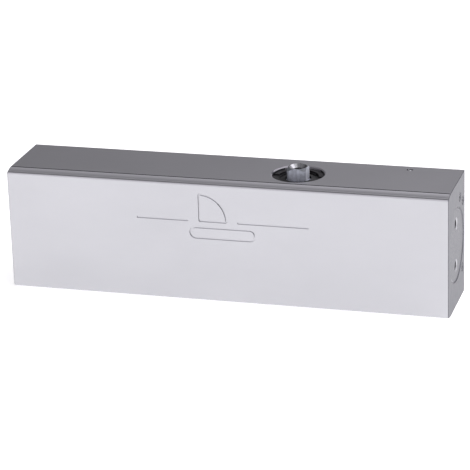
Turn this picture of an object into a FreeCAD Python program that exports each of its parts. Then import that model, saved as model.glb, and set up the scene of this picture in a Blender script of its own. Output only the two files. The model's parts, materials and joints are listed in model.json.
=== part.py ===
import FreeCAD, Part
import math
import os

# Surface door closer body: an extruded aluminium housing with a rack-and-pinion
# spring-and-oil mechanism inside. Millimetres.
# Frame: the origin is the centre of the mounting face. x runs along the body and
# points to the valve end, y points out of the mounting face (y = 0), z is up.
# The mechanism is drawn with the door shut, the piston at the valve end.

V = FreeCAD.Vector
PARTS_FOLDER = "parts"

# ---- Housing ----
BODY_LENGTH = 212.0
BODY_DEPTH = 39.5
BODY_HEIGHT = 60.0
END_X = BODY_LENGTH / 2
TOP_Z = BODY_HEIGHT / 2
AXIS_Y = -BODY_DEPTH / 2          # the bore and the spindle lie at mid depth
BAND_WIDTH = 5.0                  # sloping band between the top face and the front
BAND_DROP = 1.0
CORNER_R = 1.3
SCORE_DEPTH = 0.3                 # fine line between the top face and the band
SCORE_WIDTH = 0.4
END_DEBURR = 0.25                 # chamfer around the milled end faces
MARK_DEPTH = 0.5                  # pressed lines on the front
MARK_WIDTH = 0.9
DRILL_TIP = math.tan(math.radians(31))   # height of a drill's tip for its radius

# ---- Main bore and its plugs ----
BORE_R = 16.0
PLUG_THREAD_R = 17.5
PLUG_THREAD_LENGTH = 12.0
PLUG_NOSE_LENGTH = 9.0
PLUG_SINK = 0.3                   # the plug's face below the end face
PLUG_PIN_R = 2.6
PLUG_PIN_OFFSET = 10.2
PLUG_PIN_DEPTH = 7.0
PLUG_PIN_CHAMFER = 0.5
FIT = 0.05                        # radial running clearance
NOSE_X = END_X - PLUG_THREAD_LENGTH - PLUG_NOSE_LENGTH
PLUG_GROOVE_X = NOSE_X + 4.15     # middle of the O-ring groove
PLUG_GROOVE_WIDTH = 2.3
PLUG_GROOVE_R = 14.1
PLUG_RING_R = 15.05
PLUG_RING_SECTION_R = 0.93

# ---- Spindle and its bearings, measured up and down from the bore axis ----
SPINDLE_X = 31.3
SQUARE = 9.0
SQUARE_CORNER_R = 5.7
SPINDLE_TOP_Z = TOP_Z + 3.7
SPINDLE_TOP_R = 4.55
SQUARE_Z = 26.9                   # where the square starts, above the seal's journal
SPINDLE_BOTTOM_Z = -24.4
ARM_SCREW_R = 2.5                 # tapping size of the M6 thread for the arm's screw
ARM_SCREW_SINK_R = 4.1
ARM_SCREW_DEPTH = 15.0
JOURNAL_R = 6.5
SEAL_JOURNAL_R = 5.8
SEAT_R = 11.0                     # bearing seat
MOUTH_R = 12.25                   # threaded mouth above and below the seats
MOUTH_CHAMFER = 0.5
MOUTH_GROOVE_Z0 = 25.9            # O-ring groove of the retainer and of the cap
MOUTH_GROOVE_Z1 = 27.5
MOUTH_GROOVE_R = 11.0
MOUTH_RING_R = 11.62
MOUTH_RING_SECTION_R = 0.58
PASSAGE_R = 10.2                  # passage through which the pinion is assembled
SEAT_Z0 = 16.5
SEAT_Z1 = 24.6
RECESS = 1.2                      # the retainer's face below the top face
RETAINER_BORE_R = 6.7
SEAL_FLOOR_Z = 25.75              # pocket of the retainer for the seal
SEAL_POCKET_R = 9.6
SEAL_WALL_Z = 27.5
SNAP_Z0 = 27.55                   # groove for the ring that holds the seal
SNAP_Z1 = 28.15
SNAP_R = 10.1
SPANNER_NOTCH_WIDTH = 2.4
CAP_PIN_R = 1.75
CAP_PIN_OFFSET = 7.5
CAP_PIN_DEPTH = 2.8
ROLLER_R = 1.2
ROLLER_FIT = 0.04
SEAL_FIT = 0.04
DUST_LIP_R = SQUARE_CORNER_R + 0.34
DUST_LIP_Z = 27.75
ROLLER_COUNT = 19
CUP_LIP = 0.8
CUP_LIP_R = 6.9

# ---- Rack and pinion ----
MODULE = 1.5
TEETH = 11
PRESSURE_ANGLE = math.radians(25.0)
PITCH_R = MODULE * TEETH / 2
PINION_TIP_R = PITCH_R + MODULE
PINION_ROOT_R = PITCH_R - 1.25 * MODULE
PINION_HALF_LENGTH = 15.2
TOOTH_THINNING = 0.06             # taken off each flank for backlash
RACK_ADDENDUM = 0.9 * MODULE
RACK_DEDENDUM = 1.25 * MODULE
PITCH = math.pi * MODULE

# ---- Piston ----
PISTON_R = BORE_R - FIT
PISTON_X0 = 5.0
PISTON_X1 = 79.5
WINDOW_X0 = SPINDLE_X - 11.25
WINDOW_X1 = SPINDLE_X + 38.5
WINDOW_PLAIN_SIDE = 10.5
SPRING_RECESS_R = 10.4
SPRING_RECESS_DEPTH = 2.5
CHECK_R = 5.0                     # check valve insert
CHECK_LENGTH = 8.0
CHECK_BALL_R = 2.5
CHECK_CHAMBER_R = 2.75
CHECK_THROAT_R = 1.7
CHECK_PIN_R = 0.6
CHECK_PIN_U = 7.4
CHECK_BALL_U = 3.46

# ---- Springs ----
SPRING_GAP = 0.05
OUTER_WIRE = 4.5
OUTER_MEAN_R = 13.2
OUTER_TURNS = 12.0
INNER_WIRE = 3.2
INNER_MEAN_R = 8.3
INNER_TURNS = 17.0
CLOSED_TURNS = 1.25               # closed coils at each end of a spring

# ---- Speed valves: where each lies on the valve end face, from the bore axis ----
VALVE_R = 2.0
VALVE_SEAT_X = 75.5
VALVE_STEM_R = 1.2
VALVE_RING_X = 86.4               # middle of the O-ring groove
VALVE_RING_R = 1.65
VALVE_RING_SECTION_R = 0.33
VALVE_SHOULDER_X = 103.9          # shoulder that the retaining ring stops
VALVE_SNAP_X0 = 104.15            # groove for the retaining ring
VALVE_SNAP_X1 = 104.75
VALVE_SNAP_DEPTH = 0.35
VALVE_HEAD_R = 1.5
VALVE_HEAD_X = END_X - 0.1
VALVE_SLOT_WIDTH = 1.3
VALVE_SLOT_DEPTH = 0.5
GALLERY_R = 1.1
VALVES = {
    "closing_speed_valve": (7.95, 20.7),
    "latching_speed_valve": (15.15, 16.7),
    "backcheck_valve": (14.65, -16.1),
}
RETURN_PORT_X = SPINDLE_X + 11.5  # always inside the piston's window
CLOSING_PORT_X = 78.4             # covered by the piston in the last degrees
LATCHING_PORT_X = 81.0
BACKCHECK_PORT_X = 80.5
SPRING_CHAMBER_PORT_X = -24.0
PORT_R = 1.0
GALLERY_TIP = 1.6                 # how far a gallery runs past its last port
DRILLING_R = 1.5
CHANNEL_BALL_R = 1.48
BYPASS_X0 = -5.0                  # slot in the bore that the piston closes at about 70 degrees
BYPASS_HALF_WIDTH = 2.0
BYPASS_DEPTH = 1.5

# ---- Mounting holes in the back, M5 ----
MOUNT_X = 95.0
MOUNT_Z = 25.5
MOUNT_R = 2.1
MOUNT_DEPTH = 10.0


def axial(x, offset=0.0, z=0.0):
    """A point given from the bore axis."""
    return V(x, AXIS_Y + offset, z)


def on_spindle(z):
    return V(SPINDLE_X, AXIS_Y, z)


def rod(radius, start, end):
    line = end.sub(start)
    return Part.makeCylinder(radius, line.Length, start, line)


def block(x0, x1, y0, y1, z0, z1):
    return Part.makeBox(x1 - x0, y1 - y0, z1 - z0, V(x0, y0, z0))


def turned(profile, base, along, across):
    """Solid of revolution about the line along from base. profile lists (radius, height)."""
    points = [base + across * r + along * u for r, u in profile]
    face = Part.Face(Part.makePolygon(points + points[:1]))
    return face.revolve(base, along, 360)


def turned_x(profile, offset=0.0, z=0.0):
    """Turned about a line along x, whose heights are x positions."""
    return turned(profile, axial(0, offset, z), V(1, 0, 0), V(0, 0, 1))


def turned_z(profile):
    """Turned about the spindle's axis, whose heights are z positions."""
    return turned(profile, on_spindle(0), V(0, 0, 1), V(1, 0, 0))


def turned_both_ends(profile, side):
    """turned_z for the upper end (side 1), or its mirror image below the bore (side -1)."""
    return turned_z([(r, side * z) for r, z in profile])


def ring(mean_radius, section_radius, centre, axis):
    return Part.makeTorus(mean_radius, section_radius, centre, axis)


def split_ring(inner, outer, start, end, gap_degrees):
    """A flat retaining ring with a gap, between two points on its axis."""
    whole = rod(outer, start, end).cut(rod(inner, start, end))
    axis = end.sub(start)
    wedge = Part.makeCylinder(outer + 1, axis.Length, start, axis, gap_degrees)
    return whole.cut(wedge)


def write(name, shape):
    shape.exportStep(os.path.join(PARTS_FOLDER, name + ".step"))


# ---------------------------------------------------------------- housing

def housing_profile():
    """Half outline in y and z from the back to the middle of the front, mirrored below."""
    band_y = -(BODY_DEPTH - BAND_WIDTH)
    front_y = -BODY_DEPTH
    score = SCORE_WIDTH / 2
    band_end = V(0, front_y + CORNER_R, TOP_Z - BAND_DROP)
    band_start = V(0, band_y - score, TOP_Z)
    crown = V(0, (band_start.y + band_end.y) / 2, TOP_Z - BAND_DROP * 0.36)
    turn = math.radians(40)
    corner_mid = V(
        0,
        front_y + CORNER_R * (1 - math.cos(turn)),
        TOP_Z - BAND_DROP - CORNER_R * (1 - math.sin(turn)),
    )
    corner_end = V(0, front_y, TOP_Z - BAND_DROP - CORNER_R)
    upper = [
        Part.LineSegment(V(0, 0, 0), V(0, 0, TOP_Z)),
        Part.LineSegment(V(0, 0, TOP_Z), V(0, band_y + score, TOP_Z)),
        Part.LineSegment(V(0, band_y + score, TOP_Z), V(0, band_y, TOP_Z - SCORE_DEPTH)),
        Part.LineSegment(V(0, band_y, TOP_Z - SCORE_DEPTH), band_start),
        Part.Arc(band_start, crown, band_end),
        Part.Arc(band_end, corner_mid, corner_end),
        Part.LineSegment(corner_end, V(0, front_y, 0)),
    ]
    edges = [curve.toShape() for curve in upper]
    mirrored = [edge.mirror(V(0, 0, 0), V(0, 0, 1)) for edge in edges]
    return Part.Wire(Part.__sortEdges__(edges + mirrored))


def bore_cutters():
    mouth = PLUG_THREAD_R + 0.35
    chamfer_x = END_X - 0.35
    right = [
        (0, NOSE_X),
        (BORE_R, NOSE_X),
        (BORE_R, END_X - PLUG_THREAD_LENGTH),
        (PLUG_THREAD_R, END_X - PLUG_THREAD_LENGTH),
        (PLUG_THREAD_R, chamfer_x),
        (mouth, END_X),
        (0, END_X),
    ]
    left = [(r, -x) for r, x in right]
    return [rod(BORE_R, axial(-NOSE_X), axial(NOSE_X)), turned_x(right), turned_x(left)]


def cross_bore_cutters():
    cutters = [rod(PASSAGE_R, on_spindle(-SEAT_Z0), on_spindle(SEAT_Z0))]
    for side in (1, -1):
        cutters.append(turned_both_ends([
            (0, SEAT_Z0),
            (SEAT_R, SEAT_Z0),
            (SEAT_R, SEAT_Z1),
            (MOUTH_R, SEAT_Z1),
            (MOUTH_R, TOP_Z - MOUTH_CHAMFER),
            (MOUTH_R + MOUTH_CHAMFER, TOP_Z),
            (0, TOP_Z),
        ], side))
    return cutters


def valve_bore(offset, z, gallery_end):
    """Stepped bore from the end face: mouth, ring groove, screw bore, seat and gallery."""
    groove_r = VALVE_R + VALVE_SNAP_DEPTH
    return turned_x([
        (0, gallery_end),
        (GALLERY_R, gallery_end),
        (GALLERY_R, VALVE_SEAT_X),
        (VALVE_R, VALVE_SEAT_X + 1.0),
        (VALVE_R, VALVE_SNAP_X0),
        (groove_r, VALVE_SNAP_X0),
        (groove_r, VALVE_SNAP_X1),
        (VALVE_R, VALVE_SNAP_X1),
        (VALVE_R, END_X - 0.3),
        (VALVE_R + 0.3, END_X),
        (0, END_X),
    ], offset, z)


def radial_port(x, offset, z):
    """A drilling from a valve channel straight towards the bore."""
    reach = 0.7
    return rod(PORT_R, axial(x, offset, z), axial(x, offset * reach, z * reach))


def oil_channel_cutters():
    closing, latching, backcheck = VALVES.values()
    cutters = [
        valve_bore(*closing, RETURN_PORT_X - GALLERY_TIP),
        valve_bore(*latching, RETURN_PORT_X - GALLERY_TIP),
        valve_bore(*backcheck, SPRING_CHAMBER_PORT_X - GALLERY_TIP),
        radial_port(RETURN_PORT_X, *closing),
        radial_port(RETURN_PORT_X, *latching),
        radial_port(CLOSING_PORT_X, *closing),
    ]
    # straight drillings from the top and the bottom, each closed by a ball
    for x, offset, side in channel_drillings():
        cutters.append(rod(
            DRILLING_R if x > 0 else PORT_R,
            axial(x, offset, side * TOP_Z),
            axial(x, offset, side * 4.0),
        ))
        cutters.append(rod(
            DRILLING_R,
            axial(x, offset, side * TOP_Z),
            axial(x, offset, side * (TOP_Z - 4.0)),
        ))
    # bypass slot past the piston's spring-side head
    cutters.append(block(
        BYPASS_X0, SPINDLE_X - PASSAGE_R + 1.0,
        AXIS_Y - BYPASS_HALF_WIDTH, AXIS_Y + BYPASS_HALF_WIDTH,
        -BORE_R - BYPASS_DEPTH, -BORE_R + BYPASS_DEPTH,
    ))
    return cutters


def channel_drillings():
    """(x, offset from the bore axis, side) of each drilling that a ball closes."""
    latching_offset = VALVES["latching_speed_valve"][0]
    backcheck_offset = VALVES["backcheck_valve"][0]
    return [
        (LATCHING_PORT_X, latching_offset, 1),
        (BACKCHECK_PORT_X, backcheck_offset, -1),
        (SPRING_CHAMBER_PORT_X, backcheck_offset, -1),
    ]


def mounting_hole_cutters():
    cutters = []
    for x in (-MOUNT_X, MOUNT_X):
        for z in (-MOUNT_Z, MOUNT_Z):
            cutters.append(rod(MOUNT_R, V(x, 0, z), V(x, -MOUNT_DEPTH, z)))
            cutters.append(Part.makeCone(
                MOUNT_R, 0, MOUNT_R * DRILL_TIP, V(x, -MOUNT_DEPTH, z), V(0, -1, 0)
            ))
    return cutters


def front_bar(x0, x1, z0, z1):
    return block(x0, x1, -BODY_DEPTH - 1, -BODY_DEPTH + MARK_DEPTH, z0, z1)


def front_arc(x, z, radius, start_degrees, sweep_degrees):
    """A pressed line along an arc on the front, with angles from +x towards +z."""
    depth = MARK_DEPTH + 1
    base = V(x, -BODY_DEPTH + MARK_DEPTH, z)
    half = MARK_WIDTH / 2
    outer = Part.makeCylinder(radius + half, depth, base, V(0, -1, 0), sweep_degrees)
    inner = Part.makeCylinder(radius - half, depth, base, V(0, -1, 0), sweep_degrees)
    sector = outer.cut(inner)
    # a cylinder along -y starts its sweep at -z
    sector.rotate(base, V(0, -1, 0), start_degrees + 90)
    return sector


def front_mark_cutters():
    """Two plain lines, and between them a plain door-swing sign over a blank panel outline."""
    half = MARK_WIDTH / 2
    line_z = 10.7
    cutters = [
        front_bar(-42.0, -17.0, line_z - half, line_z + half),
        front_bar(6.9, 40.8, line_z - half, line_z + half),
    ]
    # door leaf and the quarter circle that its edge sweeps
    hinge_x, hinge_z, leaf = -11.5, 10.7, 13.0
    cutters.append(front_bar(hinge_x - half, hinge_x + half, hinge_z, hinge_z + leaf))
    cutters.append(front_bar(hinge_x, hinge_x + leaf, hinge_z - half, hinge_z + half))
    cutters.append(front_arc(hinge_x, hinge_z, leaf, 0, 90))
    # blank panel outline with round ends
    panel_x0, panel_x1, panel_z, panel_r = -13.5, 12.5, 4.9, 2.6
    for side in (-1, 1):
        z = panel_z + side * panel_r
        cutters.append(front_bar(panel_x0, panel_x1, z - half, z + half))
    cutters.append(front_arc(panel_x0, panel_z, panel_r, 90, 180))
    cutters.append(front_arc(panel_x1, panel_z, panel_r, 270, 180))
    return cutters


def body_housing():
    face = Part.Face(housing_profile())
    face.translate(V(-END_X, 0, 0))
    body = face.extrude(V(BODY_LENGTH, 0, 0))
    rims = [
        edge for edge in body.Edges
        if edge.BoundBox.XLength < 0.001 and edge.Length > SCORE_DEPTH + 0.1
    ]
    body = body.makeChamfer(END_DEBURR, rims)
    cutters = bore_cutters() + cross_bore_cutters() + oil_channel_cutters()
    cutters += mounting_hole_cutters() + front_mark_cutters()
    for cutter in cutters:
        body = body.cut(cutter)
    return body.removeSplitter()


# ---------------------------------------------------------------- plugs

def end_plug(side):
    """Screw plug with an O-ring nose. side 1 is the valve end, -1 the spring end."""
    face_x = END_X - PLUG_SINK
    shoulder_x = END_X - PLUG_THREAD_LENGTH
    thread_r = PLUG_THREAD_R - FIT
    groove_x0 = PLUG_GROOVE_X - PLUG_GROOVE_WIDTH / 2
    groove_x1 = PLUG_GROOVE_X + PLUG_GROOVE_WIDTH / 2
    profile = [
        (0, NOSE_X),
        (PISTON_R - 0.5, NOSE_X),
        (PISTON_R, NOSE_X + 0.5),
        (PISTON_R, groove_x0),
        (PLUG_GROOVE_R, groove_x0),
        (PLUG_GROOVE_R, groove_x1),
        (PISTON_R, groove_x1),
        (PISTON_R, shoulder_x + FIT),
        (thread_r, shoulder_x + FIT),
        (thread_r, face_x - 0.4),
        (thread_r - 0.4, face_x),
        (0, face_x),
    ]
    plug = turned_x([(r, side * x) for r, x in profile])
    for z in (-PLUG_PIN_OFFSET, PLUG_PIN_OFFSET):
        plug = plug.cut(turned_x([
            (0, side * (face_x - PLUG_PIN_DEPTH)),
            (PLUG_PIN_R, side * (face_x - PLUG_PIN_DEPTH)),
            (PLUG_PIN_R, side * (face_x - PLUG_PIN_CHAMFER)),
            (PLUG_PIN_R + PLUG_PIN_CHAMFER, side * face_x),
            (0, side * face_x),
        ], 0, z))
    if side < 0:
        # seat that centres the inner spring
        plug = plug.cut(rod(
            SPRING_RECESS_R, axial(-NOSE_X), axial(-NOSE_X - SPRING_RECESS_DEPTH)
        ))
    return plug


def plug_o_ring(side):
    return ring(PLUG_RING_R, PLUG_RING_SECTION_R, axial(side * PLUG_GROOVE_X), V(1, 0, 0))


# ---------------------------------------------------------------- spindle and bearings

def involute(angle):
    return math.tan(angle) - angle


def pinion_wire():
    """Outline of the pinion, with one tooth pointing along +y into the rack."""
    base_r = PITCH_R * math.cos(PRESSURE_ANGLE)
    half_at_pitch = math.pi / (2 * TEETH) - TOOTH_THINNING / PITCH_R
    steps = 6

    def half_angle(radius):
        return half_at_pitch + involute(PRESSURE_ANGLE) - involute(math.acos(base_r / radius))

    def at(radius, angle):
        return V(radius * math.cos(angle), radius * math.sin(angle), 0)

    radii = [base_r + (PINION_TIP_R - base_r) * i / steps for i in range(steps + 1)]
    edges = []
    for k in range(TEETH):
        centre = math.pi / 2 + k * 2 * math.pi / TEETH
        next_centre = centre + 2 * math.pi / TEETH
        for side in (-1, 1):
            flank = [at(r, centre + side * half_angle(r)) for r in radii]
            root = at(PINION_ROOT_R, centre + side * half_angle(base_r))
            curve = Part.BSplineCurve()
            curve.interpolate(flank)
            edges.append(Part.LineSegment(root, flank[0]).toShape())
            edges.append(curve.toShape())
        tip = half_angle(PINION_TIP_R)
        edges.append(Part.Arc(
            at(PINION_TIP_R, centre - tip), at(PINION_TIP_R, centre), at(PINION_TIP_R, centre + tip)
        ).toShape())
        edges.append(Part.Arc(
            at(PINION_ROOT_R, centre + half_angle(base_r)),
            at(PINION_ROOT_R, (centre + next_centre) / 2),
            at(PINION_ROOT_R, next_centre - half_angle(base_r)),
        ).toShape())
    return Part.Wire(Part.__sortEdges__(edges))


def pinion():
    length = 2 * PINION_HALF_LENGTH
    gear = Part.Face(pinion_wire()).extrude(V(0, 0, length))
    gear.translate(on_spindle(-PINION_HALF_LENGTH))
    bevel = 0.6
    blank = turned_z([
        (0, -PINION_HALF_LENGTH),
        (PINION_TIP_R - bevel, -PINION_HALF_LENGTH),
        (PINION_TIP_R + 0.1, -PINION_HALF_LENGTH + bevel + 0.1),
        (PINION_TIP_R + 0.1, PINION_HALF_LENGTH - bevel - 0.1),
        (PINION_TIP_R - bevel, PINION_HALF_LENGTH),
        (0, PINION_HALF_LENGTH),
    ])
    return gear.common(blank)


def spindle():
    shaft = turned_z([
        (0, SPINDLE_BOTTOM_Z),
        (JOURNAL_R - 0.5, SPINDLE_BOTTOM_Z),
        (JOURNAL_R, SPINDLE_BOTTOM_Z + 0.5),
        (JOURNAL_R, SEAT_Z1 - 0.5),
        (SEAL_JOURNAL_R, SEAT_Z1),
        (SEAL_JOURNAL_R, SQUARE_Z),
        (0, SQUARE_Z),
    ])
    half = SQUARE / 2
    square = block(
        SPINDLE_X - half, SPINDLE_X + half, AXIS_Y - half, AXIS_Y + half,
        SQUARE_Z - 1.0, SPINDLE_TOP_Z,
    )
    corner_top = SPINDLE_TOP_Z - (SQUARE_CORNER_R - SPINDLE_TOP_R)
    square = square.common(turned_z([
        (0, SQUARE_Z - 1.0),
        (SQUARE_CORNER_R, SQUARE_Z - 1.0),
        (SQUARE_CORNER_R, corner_top),
        (SPINDLE_TOP_R, SPINDLE_TOP_Z),
        (0, SPINDLE_TOP_Z),
    ]))
    screw_hole = turned_z([
        (0, SPINDLE_TOP_Z - ARM_SCREW_DEPTH - ARM_SCREW_R * DRILL_TIP),
        (ARM_SCREW_R, SPINDLE_TOP_Z - ARM_SCREW_DEPTH),
        (ARM_SCREW_R, SPINDLE_TOP_Z - (ARM_SCREW_SINK_R - ARM_SCREW_R)),
        (ARM_SCREW_SINK_R, SPINDLE_TOP_Z),
        (0, SPINDLE_TOP_Z),
    ])
    return shaft.fuse([pinion(), square]).cut(screw_hole).removeSplitter()


def thrust_washer(side):
    return turned_both_ends([
        (JOURNAL_R + 0.1, PINION_HALF_LENGTH + FIT),
        (PASSAGE_R - 0.1, PINION_HALF_LENGTH + FIT),
        (PASSAGE_R - 0.1, SEAT_Z0 - FIT),
        (JOURNAL_R + 0.1, SEAT_Z0 - FIT),
    ], side)


def roller_path_r():
    return JOURNAL_R + ROLLER_FIT + ROLLER_R


def bearing_cup(side):
    race_r = roller_path_r() + ROLLER_R + ROLLER_FIT
    outer = SEAT_R - FIT
    z0, z1 = SEAT_Z0 + 0.02, SEAT_Z1 - 0.02
    return turned_both_ends([
        (CUP_LIP_R, z0),
        (outer - 0.4, z0),
        (outer, z0 + 0.4),
        (outer, z1 - 0.4),
        (outer - 0.4, z1),
        (CUP_LIP_R, z1),
        (CUP_LIP_R, z1 - CUP_LIP),
        (race_r, z1 - CUP_LIP),
        (race_r, z0 + CUP_LIP),
        (CUP_LIP_R, z0 + CUP_LIP),
    ], side)


def bearing_rollers(side):
    gap = 0.15
    z0, z1 = SEAT_Z0 + CUP_LIP + gap, SEAT_Z1 - CUP_LIP - gap
    rollers = []
    for k in range(ROLLER_COUNT):
        angle = 2 * math.pi * k / ROLLER_COUNT
        x = SPINDLE_X + roller_path_r() * math.cos(angle)
        y = AXIS_Y + roller_path_r() * math.sin(angle)
        rollers.append(rod(ROLLER_R, V(x, y, side * z0), V(x, y, side * z1)))
    return Part.makeCompound(rollers)


def upper_bearing_retainer():
    """Threaded ring that holds the bearing down and carries the spindle seal."""
    outer = MOUTH_R - FIT
    top = TOP_Z - RECESS
    body = turned_z([
        (RETAINER_BORE_R, SEAT_Z1 + FIT),
        (outer, SEAT_Z1 + FIT),
        (outer, MOUTH_GROOVE_Z0),
        (MOUTH_GROOVE_R, MOUTH_GROOVE_Z0),
        (MOUTH_GROOVE_R, MOUTH_GROOVE_Z1),
        (outer, MOUTH_GROOVE_Z1),
        (outer, top - 0.3),
        (outer - 0.3, top),
        (SEAL_POCKET_R, top),
        (SEAL_POCKET_R, SNAP_Z1),
        (SNAP_R, SNAP_Z1),
        (SNAP_R, SNAP_Z0),
        (SEAL_POCKET_R, SNAP_Z0),
        (SEAL_POCKET_R, SEAL_FLOOR_Z),
        (RETAINER_BORE_R, SEAL_FLOOR_Z),
    ])
    # two notches for the spanner
    half = SPANNER_NOTCH_WIDTH / 2
    for side in (-1, 1):
        x0, x1 = sorted((
            SPINDLE_X + side * (SEAL_POCKET_R - 1),
            SPINDLE_X + side * (MOUTH_R + 1),
        ))
        body = body.cut(block(x0, x1, AXIS_Y - half, AXIS_Y + half, SNAP_Z1 + FIT, top + 1))
    return body


def mouth_o_ring(side):
    middle_z = (MOUTH_GROOVE_Z0 + MOUTH_GROOVE_Z1) / 2
    return ring(MOUTH_RING_R, MOUTH_RING_SECTION_R, on_spindle(side * middle_z), V(0, 0, 1))


def spindle_seal():
    """Seal with an outer wall, a lip on the journal and a dust lip around the square."""
    lip = SEAL_JOURNAL_R + SEAL_FIT
    wall = SEAL_POCKET_R - FIT
    floor = SEAL_FLOOR_Z + FIT
    return turned_z([
        (lip + 0.6, floor),
        (wall, floor),
        (wall, SEAL_WALL_Z),
        (wall - 1.15, SEAL_WALL_Z),
        (DUST_LIP_R + 0.1, DUST_LIP_Z + 0.3),
        (DUST_LIP_R, DUST_LIP_Z),
        (wall - 1.55, SEAL_WALL_Z - 0.4),
        (wall - 1.85, floor + 0.7),
        (lip + 0.6, floor + 1.15),
        (lip, floor + 0.9),
        (lip, floor + 0.6),
    ])


def seal_retaining_ring():
    return split_ring(
        SEAL_POCKET_R - 0.8, SNAP_R - FIT, on_spindle(SNAP_Z0 + FIT), on_spindle(SNAP_Z1 - FIT), 40
    )


def lower_bearing_cap():
    """Closed screw cap under the spindle, with two spanner holes in its face."""
    outer = MOUTH_R - FIT
    face = TOP_Z - PLUG_SINK
    cap = turned_both_ends([
        (0, SEAT_Z1 + 0.9),
        (JOURNAL_R + 0.5, SEAT_Z1 + 0.9),
        (JOURNAL_R + 0.5, SEAT_Z1 + FIT),
        (outer, SEAT_Z1 + FIT),
        (outer, MOUTH_GROOVE_Z0),
        (MOUTH_GROOVE_R, MOUTH_GROOVE_Z0),
        (MOUTH_GROOVE_R, MOUTH_GROOVE_Z1),
        (outer, MOUTH_GROOVE_Z1),
        (outer, face - 0.3),
        (outer - 0.3, face),
        (0, face),
    ], -1)
    for side in (-1, 1):
        x = SPINDLE_X + side * CAP_PIN_OFFSET
        cap = cap.cut(rod(CAP_PIN_R, V(x, AXIS_Y, -TOP_Z), V(x, AXIS_Y, -TOP_Z + CAP_PIN_DEPTH)))
    return cap


# ---------------------------------------------------------------- piston

def rack_outline():
    """Points of the rack's side of the window, from one end to the other."""
    slope = math.tan(PRESSURE_ANGLE)
    root_y = PITCH_R + RACK_DEDENDUM
    tip_y = PITCH_R - RACK_ADDENDUM
    half_at_pitch = PITCH / 4 - TOOTH_THINNING
    half_root = half_at_pitch + RACK_DEDENDUM * slope
    half_tip = half_at_pitch - RACK_ADDENDUM * slope
    first = math.ceil((WINDOW_X0 + half_root - SPINDLE_X) / PITCH - 0.5)
    last = math.floor((WINDOW_X1 - half_root - SPINDLE_X) / PITCH - 0.5)
    points = [(WINDOW_X0, root_y)]
    for k in range(first, last + 1):
        x = SPINDLE_X + (k + 0.5) * PITCH
        points += [
            (x - half_root, root_y),
            (x - half_tip, tip_y),
            (x + half_tip, tip_y),
            (x + half_root, root_y),
        ]
    points.append((WINDOW_X1, root_y))
    return points


def window_cutter():
    outline = rack_outline()
    outline += [(WINDOW_X1, -WINDOW_PLAIN_SIDE), (WINDOW_X0, -WINDOW_PLAIN_SIDE)]
    points = [axial(x, y, -BORE_R) for x, y in outline]
    face = Part.Face(Part.makePolygon(points + points[:1]))
    prism = face.extrude(V(0, 0, 2 * BORE_R))
    plain_y = AXIS_Y - WINDOW_PLAIN_SIDE
    corners = [
        edge for edge in prism.Edges
        if edge.BoundBox.ZLength > BORE_R and abs(edge.BoundBox.YMax - plain_y) < FIT
    ]
    return prism.makeFillet(1.5, corners)


def check_origin(side):
    """Where a check valve insert starts, on its window side."""
    if side > 0:
        return PISTON_X1 - CHECK_LENGTH
    return PISTON_X0 + SPRING_RECESS_DEPTH + CHECK_LENGTH


def piston():
    shape = turned_x([
        (0, PISTON_X0),
        (PISTON_R - 0.6, PISTON_X0),
        (PISTON_R, PISTON_X0 + 0.6),
        (PISTON_R, PISTON_X1 - 0.6),
        (PISTON_R - 0.6, PISTON_X1),
        (0, PISTON_X1),
    ])
    cutters = [
        window_cutter(),
        rod(SPRING_RECESS_R, axial(PISTON_X0), axial(PISTON_X0 + SPRING_RECESS_DEPTH)),
    ]
    for side in (-1, 1):
        start = check_origin(side)
        pocket_end = start + side * (CHECK_LENGTH + 0.5)
        cutters.append(rod(CHECK_R + 0.02, axial(start - side * 0.02), axial(pocket_end)))
        window_edge = WINDOW_X1 if side > 0 else WINDOW_X0
        cutters.append(rod(2.0, axial(window_edge - side), axial(start)))
    # labyrinth grooves around each head
    groove_depth, groove_width = 0.6, 1.2
    for x in (9.0, 12.5, 16.0, 72.2, 75.2):
        outer = rod(PISTON_R + 1, axial(x), axial(x + groove_width))
        inner = rod(PISTON_R - groove_depth, axial(x), axial(x + groove_width))
        cutters.append(outer.cut(inner))
    for cutter in cutters:
        shape = shape.cut(cutter)
    return shape


def check_seat(side):
    """Pressed insert: throat, conical seat and ball chamber, cross-drilled for its pin."""
    start = check_origin(side)
    profile = [
        (CHECK_THROAT_R, 0),
        (CHECK_R, 0),
        (CHECK_R, CHECK_LENGTH),
        (CHECK_CHAMBER_R, CHECK_LENGTH),
        (CHECK_CHAMBER_R, 2.7),
        (CHECK_THROAT_R, 1.6),
    ]
    insert = turned_x([(r, start + side * u) for r, u in profile])
    x = start + side * CHECK_PIN_U
    hole = rod(CHECK_PIN_R + 0.02, axial(x, 0, -CHECK_R - 1), axial(x, 0, CHECK_R + 1))
    return insert.cut(hole)


def check_ball(side):
    return Part.makeSphere(CHECK_BALL_R, axial(check_origin(side) + side * CHECK_BALL_U))


def check_pin(side):
    x = check_origin(side) + side * CHECK_PIN_U
    half = CHECK_R - 0.1
    return rod(CHECK_PIN_R, axial(x, 0, -half), axial(x, 0, half))


# ---------------------------------------------------------------- springs

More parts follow.
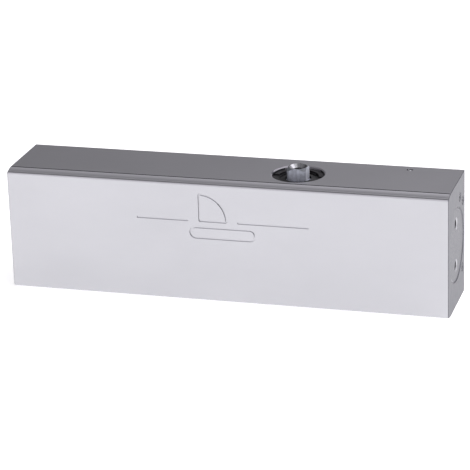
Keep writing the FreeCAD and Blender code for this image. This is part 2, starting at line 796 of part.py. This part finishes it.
def spring(wire, mean_r, turns, x0, x1):
    """Compression spring along x with closed and ground ends."""
    closed_pitch = wire * 1.05
    start, end = x0 + 0.3 * wire, x1 - 0.3 * wire
    open_turns = turns - 2 * CLOSED_TURNS
    open_pitch = (end - start - 2 * CLOSED_TURNS * closed_pitch) / open_turns

    def advance(turn):
        if turn <= CLOSED_TURNS:
            return turn * closed_pitch
        opened = min(turn - CLOSED_TURNS, open_turns)
        closed = CLOSED_TURNS + max(0.0, turn - CLOSED_TURNS - open_turns)
        return closed * closed_pitch + opened * open_pitch

    per_turn = 12
    count = int(turns * per_turn)
    points = []
    for i in range(count + 1):
        turn = turns * i / count
        angle = 2 * math.pi * turn
        points.append(axial(
            start + advance(turn), mean_r * math.cos(angle), mean_r * math.sin(angle)
        ))
    path = Part.BSplineCurve()
    path.interpolate(points)
    tangent = path.tangent(path.FirstParameter)[0]
    section = Part.Wire(Part.makeCircle(wire / 2, points[0], tangent))
    coil = Part.Wire(path.toShape()).makePipeShell([section], True, True)
    reach = mean_r + wire
    for low, high in ((x0 - wire, x0), (x1, x1 + wire)):
        coil = coil.cut(block(low, high, AXIS_Y - reach, AXIS_Y + reach, -reach, reach))
    return coil


def outer_spring():
    return spring(
        OUTER_WIRE, OUTER_MEAN_R, OUTER_TURNS, -NOSE_X + SPRING_GAP, PISTON_X0 - SPRING_GAP
    )


def inner_spring():
    reach = SPRING_RECESS_DEPTH - SPRING_GAP
    return spring(
        INNER_WIRE, INNER_MEAN_R, INNER_TURNS, -NOSE_X - reach, PISTON_X0 + reach
    )


# ---------------------------------------------------------------- speed valves

def speed_valve(offset, z):
    """Adjusting screw: needle, O-ring groove, a shoulder and a slotted head."""
    body_r = VALVE_R - FIT
    groove_half = 0.4
    screw = turned_x([
        (0, VALVE_SEAT_X - 0.7),
        (0.3, VALVE_SEAT_X - 0.7),
        (VALVE_STEM_R, VALVE_SEAT_X + 1.5),
        (VALVE_STEM_R, VALVE_RING_X - 2.4),
        (body_r, VALVE_RING_X - 2.0),
        (body_r, VALVE_RING_X - groove_half),
        (VALVE_RING_R - VALVE_RING_SECTION_R - 0.02, VALVE_RING_X - groove_half),
        (VALVE_RING_R - VALVE_RING_SECTION_R - 0.02, VALVE_RING_X + groove_half),
        (body_r, VALVE_RING_X + groove_half),
        (body_r, VALVE_SHOULDER_X),
        (VALVE_HEAD_R, VALVE_SHOULDER_X),
        (VALVE_HEAD_R, VALVE_HEAD_X - 0.15),
        (VALVE_HEAD_R - 0.15, VALVE_HEAD_X),
        (0, VALVE_HEAD_X),
    ], offset, z)
    half = VALVE_SLOT_WIDTH / 2
    slot = block(
        VALVE_HEAD_X - VALVE_SLOT_DEPTH, VALVE_HEAD_X + 1,
        AXIS_Y + offset - VALVE_R, AXIS_Y + offset + VALVE_R,
        z - half, z + half,
    )
    return screw.cut(slot)


def valve_o_rings():
    return Part.makeCompound([
        ring(VALVE_RING_R, VALVE_RING_SECTION_R, axial(VALVE_RING_X, offset, z), V(1, 0, 0))
        for offset, z in VALVES.values()
    ])


def valve_retaining_rings():
    inner, outer = VALVE_HEAD_R + 0.3, VALVE_R + VALVE_SNAP_DEPTH - FIT
    return Part.makeCompound([
        split_ring(
            inner, outer,
            axial(VALVE_SNAP_X0 + FIT, offset, z), axial(VALVE_SNAP_X1 - FIT, offset, z), 60
        )
        for offset, z in VALVES.values()
    ])


def channel_plug_balls():
    sink = 0.15
    centre_z = TOP_Z - CHANNEL_BALL_R - sink
    return Part.makeCompound([
        Part.makeSphere(CHANNEL_BALL_R, axial(x, offset, side * centre_z))
        for x, offset, side in channel_drillings()
    ])


def main():
    os.makedirs(PARTS_FOLDER, exist_ok=True)
    write("body_housing", body_housing())
    write("valve_end_plug", end_plug(1))
    write("spring_end_plug", end_plug(-1))
    write("valve_end_o_ring", plug_o_ring(1))
    write("spring_end_o_ring", plug_o_ring(-1))
    write("upper_bearing_retainer", upper_bearing_retainer())
    write("upper_retainer_o_ring", mouth_o_ring(1))
    write("spindle_seal", spindle_seal())
    write("seal_retaining_ring", seal_retaining_ring())
    write("lower_bearing_cap", lower_bearing_cap())
    write("lower_cap_o_ring", mouth_o_ring(-1))
    for name, side in (("upper", 1), ("lower", -1)):
        write(name + "_bearing_cup", bearing_cup(side))
        write(name + "_bearing_rollers", bearing_rollers(side))
        write(name + "_thrust_washer", thrust_washer(side))
    write("spindle", spindle())
    write("piston", piston())
    for name, side in (("valve_side", 1), ("spring_side", -1)):
        write(name + "_check_seat", check_seat(side))
        write(name + "_check_ball", check_ball(side))
        write(name + "_check_pin", check_pin(side))
    write("outer_spring", outer_spring())
    write("inner_spring", inner_spring())
    for name, (offset, z) in VALVES.items():
        write(name, speed_valve(offset, z))
    write("valve_o_rings", valve_o_rings())
    write("valve_retaining_rings", valve_retaining_rings())
    write("channel_plug_balls", channel_plug_balls())


main()
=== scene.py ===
import json
import math
import bpy
from mathutils import Matrix, Vector


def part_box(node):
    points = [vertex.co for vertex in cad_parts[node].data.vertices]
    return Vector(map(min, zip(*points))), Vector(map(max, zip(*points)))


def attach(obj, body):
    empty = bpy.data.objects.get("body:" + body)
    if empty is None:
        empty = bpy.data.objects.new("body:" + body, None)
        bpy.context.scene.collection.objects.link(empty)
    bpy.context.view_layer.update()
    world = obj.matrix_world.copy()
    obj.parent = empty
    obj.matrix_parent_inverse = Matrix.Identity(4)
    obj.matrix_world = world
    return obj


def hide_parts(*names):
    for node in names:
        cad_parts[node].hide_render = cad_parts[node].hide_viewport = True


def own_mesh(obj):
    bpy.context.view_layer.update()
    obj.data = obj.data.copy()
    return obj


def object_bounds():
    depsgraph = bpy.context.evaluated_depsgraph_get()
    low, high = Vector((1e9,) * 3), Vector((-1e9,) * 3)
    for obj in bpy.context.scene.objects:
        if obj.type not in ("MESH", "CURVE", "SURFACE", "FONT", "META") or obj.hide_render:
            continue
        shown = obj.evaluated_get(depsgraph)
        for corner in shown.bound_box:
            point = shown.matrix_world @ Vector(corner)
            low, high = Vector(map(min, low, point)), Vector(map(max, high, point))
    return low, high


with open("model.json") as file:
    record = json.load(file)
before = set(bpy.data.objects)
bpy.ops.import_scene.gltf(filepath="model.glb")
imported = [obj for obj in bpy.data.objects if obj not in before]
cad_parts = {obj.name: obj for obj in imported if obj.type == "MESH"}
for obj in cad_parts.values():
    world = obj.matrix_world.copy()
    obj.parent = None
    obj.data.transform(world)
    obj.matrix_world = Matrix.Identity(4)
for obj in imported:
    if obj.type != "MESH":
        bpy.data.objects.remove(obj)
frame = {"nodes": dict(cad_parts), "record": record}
cad_low, cad_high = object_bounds()

MM = 0.001

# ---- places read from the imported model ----
housing_low, housing_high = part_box("body_housing")
spindle_low, spindle_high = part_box("spindle")
SPINDLE_X = (spindle_low.x + spindle_high.x) / 2
AXIS_Y = (housing_low.y + housing_high.y) / 2
VALVE_FACE_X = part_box("closing_speed_valve")[1].x
SCORE_Y = housing_low.y + 5 * MM      # the fine line behind the sloping front band
# half width of the band of painted shade along that line
SCORE_HALF_WIDTH = 0.4 * MM
PLUG_RIM_X = housing_high.x - 0.9 * MM    # the chamfers of an end plug lie beyond this
PLUG_HOLES_R = 13.6 * MM              # an end plug's two spanner holes lie within this radius
MOUTH_REACH = 13 * MM                 # the threaded mouth in the top lies within this radius
SPINDLE_END_R = 4.5 * MM              # edge of the turned end and of its tapped hole
TAPPED_HOLE_R = 2.55 * MM
FLOOR_Z = cad_low.z


# ================================================================ small node helpers

class Graph:
    """One material's node tree, with short calls for the nodes used here."""

    def __init__(self, name):
        self.material = bpy.data.materials.new(name)
        self.material.use_nodes = True
        self.tree = self.material.node_tree
        self.shader = self.tree.nodes["Principled BSDF"]
        coords = self.tree.nodes.new("ShaderNodeTexCoord")
        self.position = coords.outputs["Object"]
        self.normal = coords.outputs["Normal"]

    def node(self, kind, inputs=(), **settings):
        made = self.tree.nodes.new(kind)
        for key, value in settings.items():
            setattr(made, key, value)
        for key, value in dict(inputs).items():
            self.put(made.inputs[key], value)
        return made

    def put(self, socket, value):
        if isinstance(value, bpy.types.NodeSocket):
            self.tree.links.new(value, socket)
        else:
            socket.default_value = value

    def stretched(self, sx, sy, sz):
        """Object coordinates in metres, multiplied by a number per axis."""
        scaled = self.node(
            "ShaderNodeVectorMath",
            {0: self.position, 1: (sx, sy, sz)},
            operation="MULTIPLY",
        )
        return scaled.outputs[0]

    def noise(self, vector, scale=1.0, detail=3.0, rough=0.55):
        made = self.node(
            "ShaderNodeTexNoise",
            {"Vector": vector, "Scale": scale, "Detail": detail, "Roughness": rough},
        )
        return made.outputs["Fac"]

    def remap(self, value, low, high, out_low, out_high):
        made = self.node(
            "ShaderNodeMapRange",
            {0: value, 1: low, 2: high, 3: out_low, 4: out_high},
            clamp=True,
        )
        return made.outputs[0]

    def math(self, operation, a, b=0.0):
        return self.node("ShaderNodeMath", {0: a, 1: b}, operation=operation).outputs[0]

    def blend_number(self, factor, a, b):
        made = self.node("ShaderNodeMix", data_type="FLOAT")
        self.put(made.inputs[0], factor)
        self.put(made.inputs[2], a)
        self.put(made.inputs[3], b)
        return made.outputs[0]

    def blend_colour(self, factor, a, b):
        made = self.node("ShaderNodeMix", data_type="RGBA")
        self.put(made.inputs[0], factor)
        self.put(made.inputs[6], (*a, 1) if isinstance(a, tuple) else a)
        self.put(made.inputs[7], (*b, 1) if isinstance(b, tuple) else b)
        return made.outputs[2]

    def bump(self, height, distance, strength=1.0, below=None):
        made = self.node(
            "ShaderNodeBump",
            {"Height": height, "Distance": distance, "Strength": strength},
        )
        if below is not None:
            self.put(made.inputs["Normal"], below)
        return made.outputs["Normal"]

    def component(self, vector, axis):
        return self.node("ShaderNodeSeparateXYZ", {0: vector}).outputs[axis]

    def near_spindle(self, reach):
        """1 within this radius of the spindle's axis, and 0 elsewhere."""
        east = self.math("SUBTRACT", self.component(self.position, 0), SPINDLE_X)
        north = self.math("SUBTRACT", self.component(self.position, 1), AXIS_Y)
        squares = self.math("ADD", self.math("POWER", east, 2.0), self.math("POWER", north, 2.0))
        return self.math("LESS_THAN", squares, reach * reach)

    def facing(self, axis, limit=0.7):
        """1 where the surface faces along this axis, either way, and 0 elsewhere."""
        along = self.math("ABSOLUTE", self.component(self.normal, axis))
        return self.math("GREATER_THAN", along, limit)

    def finish(self, colour, roughness, normal=None, metallic=1.0):
        self.put(self.shader.inputs["Base Color"], colour)
        self.put(self.shader.inputs["Roughness"], roughness)
        self.shader.inputs["Metallic"].default_value = metallic
        if normal is not None:
            self.put(self.shader.inputs["Normal"], normal)
        return self.material


# ================================================================ materials

def anodised_aluminium():
    """Satin anodised extrusion: drawn lines along x, milled end faces, a rough threaded mouth."""
    g = Graph("anodised_aluminium")
    cloud = g.noise(g.stretched(20, 45, 45), detail=4)
    drawn = g.noise(g.stretched(6, 2600, 2600), detail=2)
    grain = g.noise(g.stretched(3200, 3200, 3200), detail=2)
    milled = g.noise(g.stretched(900, 3600, 260), detail=3)
    end = g.facing(0)
    skin = g.blend_colour(
        g.remap(cloud, 0.3, 0.7, 0, 1), (0.509, 0.509, 0.532), (0.531, 0.531, 0.554))
    # painted shade: near black along the scored lines behind the front bands
    skin = g.blend_colour(painted_score_shade(g), skin, (0.04, 0.04, 0.045))
    mouth = g.math(
        "MULTIPLY", g.near_spindle(MOUTH_REACH), g.math("LESS_THAN", g.component(g.normal, 2), 0.9))
    skin = g.blend_colour(mouth, skin, (0.46, 0.45, 0.48))
    cut = g.blend_colour(
        g.remap(milled, 0.3, 0.7, 0, 1), (0.149, 0.149, 0.166), (0.190, 0.190, 0.210))
    skin_rough = g.blend_number(mouth, g.remap(grain, 0.3, 0.7, 0.3, 0.38), 0.66)
    cut_rough = g.remap(milled, 0.3, 0.7, 0.34, 0.48)
    skin_normal = g.bump(grain, 0.012 * MM, 0.5, g.bump(drawn, 0.006 * MM, 0.6))
    cut_normal = g.bump(milled, 0.02 * MM, 0.7)
    normal = g.node("ShaderNodeMix", data_type="VECTOR")
    g.put(normal.inputs[0], end)
    g.put(normal.inputs[4], skin_normal)
    g.put(normal.inputs[5], cut_normal)
    return g.finish(
        g.blend_colour(end, skin, cut),
        g.blend_number(end, skin_rough, cut_rough),
        normal.outputs[1],
    )


def painted_score_shade(g):
    """1 inside the scored lines behind the front bands and just beside them, where shade is
    painted.
    """
    across = g.math("ABSOLUTE", g.math("SUBTRACT", g.component(g.position, 1), SCORE_Y))
    height = g.math("ABSOLUTE", g.component(g.position, 2))
    near = g.math("LESS_THAN", across, SCORE_HALF_WIDTH)
    outside = g.math("GREATER_THAN", height, housing_high.z - 0.4 * MM)
    return g.math("MULTIPLY", near, outside)


def turned_metal(name, dark, light, rough, centre, axis, hole_shade_and_rim_highlight=None):
    """Metal with fine turning rings around an axis through centre. The optional last pair of
    colours paints shade on an end plug's spanner hole walls and a highlight on its chamfers."""
    pitch, depth = 0.12 * MM, 0.012 * MM
    g = Graph(name)
    shifted = g.node(
        "ShaderNodeVectorMath", {0: g.position, 1: tuple(centre)}, operation="SUBTRACT"
    ).outputs[0]
    keep = [1, 1, 1]
    keep[axis] = 0
    flat = g.node(
        "ShaderNodeVectorMath", {0: shifted, 1: tuple(keep)}, operation="MULTIPLY"
    ).outputs[0]
    radius = g.node("ShaderNodeVectorMath", {0: flat}, operation="LENGTH").outputs["Value"]
    along = g.component(shifted, axis)
    travel = g.math("ADD", radius, along)
    rings = g.node("ShaderNodeTexNoise", {"W": travel, "Scale": 1 / pitch, "Detail": 2.0},
                   noise_dimensions="1D").outputs["Fac"]
    specks = g.noise(g.stretched(900, 900, 900), detail=3)
    tone = g.math("ADD", g.math("MULTIPLY", rings, 0.6), g.math("MULTIPLY", specks, 0.4))
    colour = g.blend_colour(g.remap(tone, 0.35, 0.65, 0, 1), dark, light)
    if hole_shade_and_rim_highlight is not None:
        wall, rim_highlight = hole_shade_and_rim_highlight
        from_middle = g.math("ABSOLUTE", g.component(g.position, axis))
        # painted shade on the spanner hole walls, then a painted highlight on the chamfers beyond
        # PLUG_RIM_X
        side = g.blend_colour(g.math("LESS_THAN", radius, PLUG_HOLES_R), colour, wall)
        side = g.blend_colour(g.math("GREATER_THAN", from_middle, PLUG_RIM_X), side, rim_highlight)
        colour = g.blend_colour(g.facing(axis, 0.9), side, colour)
    roughness = g.remap(specks, 0.3, 0.7, rough[0], rough[1])
    return g.finish(colour, roughness, g.bump(rings, depth, 0.6))


def speckled_metal(name, dark, light, rough, scale):
    """Metal with an even fine grain."""
    g = Graph(name)
    grain = g.noise(g.stretched(scale, scale, scale), detail=3)
    patches = g.noise(g.stretched(scale / 12, scale / 12, scale / 12), detail=3)
    colour = g.blend_colour(g.remap(patches, 0.35, 0.65, 0, 1), dark, light)
    return g.finish(colour, g.remap(grain, 0.3, 0.7, *rough), g.bump(grain, 0.01 * MM, 0.6))


def plated_spindle():
    """Zinc plated flats with a soft mottled grain and a bright turned end, with painted light on
    the flanks facing x and painted shade on the front corner chamfers and in the tapped thread.
    """
    g = Graph("plated_spindle")
    grain = g.noise(g.stretched(2600, 2600, 2600), detail=3)
    mottle = g.noise(g.stretched(650, 650, 420), detail=3)
    turned = g.math(
        "MULTIPLY",
        g.near_spindle(SPINDLE_END_R),
        g.math("GREATER_THAN", g.component(g.normal, 2), 0.5))
    mottled = g.remap(mottle, 0.35, 0.65, 0, 1)
    flats = g.blend_colour(mottled, (0.42, 0.435, 0.485), (0.60, 0.62, 0.685))
    # painted light: the flanks that face along x are lighter than the flats
    lit_flanks = g.blend_colour(mottled, (0.70, 0.72, 0.78), (0.86, 0.88, 0.94))
    flats = g.blend_colour(g.facing(0, 0.8), flats, lit_flanks)
    # painted shade: the chamfers of the corners are darker towards the front
    front_chamfer_shade = g.math(
        "MULTIPLY",
        g.math("LESS_THAN", g.component(g.normal, 1), -0.25),
        g.math("GREATER_THAN", g.component(g.normal, 2), 0.2))
    flats = g.blend_colour(front_chamfer_shade, flats, (0.24, 0.25, 0.27))
    colour = g.blend_colour(turned, flats, (0.50, 0.50, 0.52))
    # painted shade in the tapped hole for the arm screw
    tapped_hole_shade = g.near_spindle(TAPPED_HOLE_R)
    colour = g.blend_colour(tapped_hole_shade, colour, (0.05, 0.05, 0.055))
    roughness = g.blend_number(turned, g.remap(grain, 0.3, 0.7, 0.62, 0.76), 0.2)
    return g.finish(colour, roughness, g.bump(grain, 0.012 * MM, 0.6))


def valve_screw():
    """Dark outer face of a valve screw, with a bright slot below it."""
    g = Graph("valve_screw")
    grain = g.noise(g.stretched(2500, 2500, 2500), detail=3)
    face = g.math("GREATER_THAN", g.component(g.position, 0), VALVE_FACE_X - 0.12 * MM)
    milled = g.blend_colour(
        g.remap(grain, 0.35, 0.65, 0, 1), (0.66, 0.66, 0.68), (0.80, 0.80, 0.82))
    return g.finish(
        g.blend_colour(face, milled, (0.12, 0.12, 0.13)),
        g.remap(grain, 0.3, 0.7, 0.24, 0.38),
        g.bump(grain, 0.01 * MM, 0.6),
    )


def black_oxide():
    """Blackened steel: an almost black coat, thinner and browner in patches."""
    g = Graph("black_oxide")
    patches = g.noise(g.stretched(260, 260, 260), detail=4)
    grain = g.noise(g.stretched(2400, 2400, 2400), detail=2)
    colour = g.blend_colour(
        g.remap(patches, 0.4, 0.68, 0, 1), (0.013, 0.012, 0.015), (0.026, 0.024, 0.027))
    roughness = g.remap(grain, 0.3, 0.7, 0.38, 0.56)
    return g.finish(colour, roughness, g.bump(grain, 0.015 * MM, 0.6), 0.35)


def black_rubber():
    g = Graph("black_rubber")
    grain = g.noise(g.stretched(1800, 1800, 1800), detail=3)
    bloom = g.noise(g.stretched(220, 220, 220), detail=3)
    colour = g.blend_colour(
        g.remap(bloom, 0.4, 0.7, 0, 1), (0.014, 0.014, 0.015), (0.028, 0.028, 0.03))
    return g.finish(colour, g.remap(grain, 0.3, 0.7, 0.55, 0.8), g.bump(grain, 0.02 * MM, 0.7), 0.0)


def pale_floor():
    g = Graph("pale_floor")
    paper = g.noise(g.stretched(40, 40, 40), detail=4)
    colour = g.blend_colour(
        g.remap(paper, 0.3, 0.7, 0, 1), (0.93, 0.93, 0.93), (0.96, 0.96, 0.96))
    g.shader.inputs["Emission Color"].default_value = (1, 1, 1, 1)
    g.shader.inputs["Emission Strength"].default_value = FLOOR_GLOW
    return g.finish(colour, 0.9, None, 0.0)


def assign_materials():
    """One procedural material for each CAD node, by its slot in the record."""
    bore_centre = Vector((0, AXIS_Y, 0))
    by_slot = {
        "anodised_aluminium": anodised_aluminium(),
        # the last pair is painted shade in the plug's spanner holes and a painted highlight on its
        # chamfers
        "machined_aluminium": turned_metal(
            "turned_aluminium", (0.160, 0.160, 0.177), (0.197, 0.197, 0.217), (0.34, 0.46),
            bore_centre, 0, ((0.05, 0.05, 0.055), (0.55, 0.55, 0.57))),
        "spindle_steel": plated_spindle(),
        "black_oxide_steel": black_oxide(),
        "bearing_steel": speckled_metal(
            "ground_steel", (0.52, 0.52, 0.53), (0.64, 0.64, 0.65), (0.16, 0.28), 1200),
        "valve_steel": valve_screw(),
        "spring_steel": speckled_metal(
            "tempered_steel", (0.10, 0.10, 0.11), (0.2, 0.195, 0.19), (0.3, 0.45), 800),
        "cast_iron": turned_metal(
            "ground_cast_iron", (0.22, 0.22, 0.23), (0.34, 0.34, 0.35), (0.3, 0.45),
            bore_centre, 0),
        "rubber": black_rubber(),
    }
    for part in frame["record"]["subparts"]:
        node = frame["nodes"][part["node"]]
        node.data.materials.clear()
        node.data.materials.append(by_slot[part["material_slot"]])
    return by_slot


# ================================================================ edges of the CAD parts

def soften_edges(name, width):
    """Breaks a CAD part's sharp edges with a small bevel, as a modifier."""
    node = frame["nodes"][name]
    for polygon in node.data.polygons:
        polygon.use_smooth = True
    bevel = node.modifiers.new("edge_break", "BEVEL")
    bevel.width = width
    bevel.segments = 2
    bevel.limit_method = "ANGLE"
    bevel.angle_limit = math.radians(30)
    bevel.harden_normals = True


# ================================================================ springs

def coil_points(axis_x0, axis_x1, mean_r, wire, turns, closed_turns=1.25, per_turn=32):
    """Centre line of a compression spring with closed ends, along x on the bore's axis."""
    closed_pitch = wire * 1.05
    start, end = axis_x0 + wire * 0.5, axis_x1 - wire * 0.5
    open_turns = turns - 2 * closed_turns
    open_pitch = (end - start - 2 * closed_turns * closed_pitch) / open_turns
    count = int(turns * per_turn)
    points = []
    for i in range(count + 1):
        turn = turns * i / count
        opened = min(max(turn - closed_turns, 0), open_turns)
        closed = turn - opened
        angle = 2 * math.pi * turn
        points.append(Vector((
            start + closed * closed_pitch + opened * open_pitch,
            AXIS_Y + mean_r * math.cos(angle),
            mean_r * math.sin(angle),
        )))
    return points


def wire_mesh(name, points, radius, around=16):
    """A round wire along points, closed by a flat cap at each end."""
    verts, faces = [], []
    last = len(points) - 1
    for i, point in enumerate(points):
        along = (points[min(i + 1, last)] - points[max(i - 1, 0)]).normalized()
        side = along.cross(Vector((1, 0, 0))).normalized()
        up = side.cross(along)
        for k in range(around):
            a = 2 * math.pi * k / around
            verts.append(point + radius * (math.cos(a) * side + math.sin(a) * up))
    for i in range(last):
        for k in range(around):
            n = (k + 1) % around
            a, b = i * around, (i + 1) * around
            faces.append((a + k, a + n, b + n, b + k))
    faces.append(tuple(reversed(range(around))))
    faces.append(tuple(last * around + k for k in range(around)))
    mesh = bpy.data.meshes.new(name)
    mesh.from_pydata(verts, [], faces)
    for polygon in mesh.polygons:
        polygon.use_smooth = len(polygon.vertices) == 4
    made = bpy.data.objects.new(name, mesh)
    bpy.context.scene.collection.objects.link(made)
    return made


def build_springs(material):
    """Coils in place of the CAD springs between the fixed plug and the sliding piston, attached to
    the housing.
    """
    for node, wire, turns in (("outer_spring", 4.5 * MM, 12), ("inner_spring", 3.2 * MM, 17)):
        low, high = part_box(node)
        mean_r = (high.y - low.y) / 2 - wire / 2
        coil = wire_mesh(
            node + "_coil", coil_points(low.x, high.x, mean_r, wire, turns), wire / 2)
        coil.data.materials.append(material)
        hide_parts(node)
        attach(coil, "housing")
        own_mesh(coil)


# ================================================================ camera, lights, floor

CAMERA_AIM = Vector((4.63, -36.5, 3.8)) * MM
CAMERA_DISTANCE = 1093.8 * MM
CAMERA_AZIMUTH = math.radians(16.37)
CAMERA_ELEVATION = math.radians(20.112)
CAMERA_ROLL = math.radians(-1.82)
CAMERA_LENS = 180.0

# light of the wall behind the object by direction, as (component, strength) pairs
WALL_BY_X = ((-0.8, 0.06), (-0.36, 0.18), (-0.17, 0.29), (0.35, 0.55), (0.6, 0.6))
WALL_BY_Z = (
    (-0.2, 1.0), (0.3, 0.78), (0.45, 1.56), (0.58, 3.3), (0.74, 3.0), (0.92, 0.6), (1.0, 0.4))
# the wall gives way to the bright room in front between these y components
WALL_Y, ROOM_Y = -0.2, -0.75
ROOM_LIGHT = 1.0
FLOOR_GLOW = 0.64


def direction(azimuth, elevation):
    """Unit vector from the object towards a viewer. Azimuth 0 is the front, 90 the +x end."""
    return Vector((
        math.sin(azimuth) * math.cos(elevation),
        -math.cos(azimuth) * math.cos(elevation),
        math.sin(elevation),
    ))


def build_camera():
    data = bpy.data.cameras.new("camera")
    data.lens = CAMERA_LENS
    data.clip_start, data.clip_end = 0.05, 50
    camera = bpy.data.objects.new("camera", data)
    back = direction(CAMERA_AZIMUTH, CAMERA_ELEVATION)
    level = Vector((0, 0, 1)).cross(back).normalized()
    upright = back.cross(level)
    right = level * math.cos(CAMERA_ROLL) + upright * math.sin(CAMERA_ROLL)
    up = back.cross(right)
    turned = Matrix((right, up, back)).transposed().to_4x4()
    camera.matrix_world = Matrix.Translation(CAMERA_AIM + back * CAMERA_DISTANCE) @ turned
    bpy.context.scene.collection.objects.link(camera)
    bpy.context.scene.camera = camera


def soft_light(name, azimuth, elevation, distance, size, power):
    """A square area light that faces the object."""
    data = bpy.data.lights.new(name, "AREA")
    data.shape = "SQUARE"
    data.size = size
    data.energy = power
    light = bpy.data.objects.new(name, data)
    away = direction(math.radians(azimuth), math.radians(elevation))
    light.location = away * distance
    light.rotation_mode = "QUATERNION"
    light.rotation_quaternion = away.to_track_quat("Z", "Y")
    bpy.context.scene.collection.objects.link(light)


def build_floor():
    mesh = bpy.data.meshes.new("floor")
    half = 6.0
    corners = [
        (x * half, y * half, FLOOR_Z) for x, y in ((-1, -1), (1, -1), (1, 1), (-1, 1))]
    mesh.from_pydata(corners, [], [(0, 1, 2, 3)])
    floor = bpy.data.objects.new("floor", mesh)
    mesh.materials.append(pale_floor())
    bpy.context.scene.collection.objects.link(floor)


def ramp_of(tree, component, pairs):
    """Strength read from (component, strength) pairs, with components from -1 to 1."""
    shift = tree.nodes.new("ShaderNodeMapRange")
    shift.inputs[1].default_value = -1.0
    tree.links.new(component, shift.inputs[0])
    ramp = tree.nodes.new("ShaderNodeValToRGB")
    ramp.color_ramp.interpolation = "EASE"
    stops = ramp.color_ramp.elements
    while len(stops) < len(pairs):
        stops.new(0.5)
    for stop, (place, strength) in zip(stops, pairs):
        stop.position = (place + 1) / 2
        stop.color = (strength, strength, strength, 1)
    tree.links.new(shift.outputs[0], ramp.inputs[0])
    return ramp.outputs["Color"]


def build_world():
    """A bright room in front of the object, and behind it a wall lit from the +x side."""
    world = bpy.data.worlds.new("studio")
    world.use_nodes = True
    tree = world.node_tree
    coords = tree.nodes.new("ShaderNodeTexCoord")
    split = tree.nodes.new("ShaderNodeSeparateXYZ")
    tree.links.new(coords.outputs["Generated"], split.inputs[0])
    wall = tree.nodes.new("ShaderNodeMath")
    wall.operation = "MULTIPLY"
    tree.links.new(ramp_of(tree, split.outputs["X"], WALL_BY_X), wall.inputs[0])
    tree.links.new(ramp_of(tree, split.outputs["Z"], WALL_BY_Z), wall.inputs[1])
    blend = tree.nodes.new("ShaderNodeMapRange")
    blend.interpolation_type = "SMOOTHSTEP"
    blend.inputs[1].default_value = WALL_Y
    blend.inputs[2].default_value = ROOM_Y
    blend.inputs[4].default_value = ROOM_LIGHT
    tree.links.new(split.outputs["Y"], blend.inputs[0])
    tree.links.new(wall.outputs[0], blend.inputs[3])
    background = tree.nodes["Background"]
    background.inputs["Color"].default_value = (1.0, 0.98, 1.03, 1)
    tree.links.new(blend.outputs[0], background.inputs["Strength"])
    bpy.context.scene.world = world


def build_studio():
    build_floor()
    build_world()
    soft_light("front_softbox", -50, 5, 2.2, 1.2, 5)
    soft_light("right_fill", 85, 42, 2.4, 0.9, 4)
    soft_light("high_fill", 66, 64, 2.4, 0.9, 1.2)
    bpy.context.scene.view_settings.view_transform = "Standard"


# ================================================================ build

materials = assign_materials()
build_springs(materials["spring_steel"])
for part_name, edge_width in (
    ("body_housing", 0.12 * MM),
    ("valve_end_plug", 0.1 * MM),
    ("spring_end_plug", 0.1 * MM),
    ("spindle", 0.12 * MM),
):
    soften_edges(part_name, edge_width)
build_camera()
build_studio()
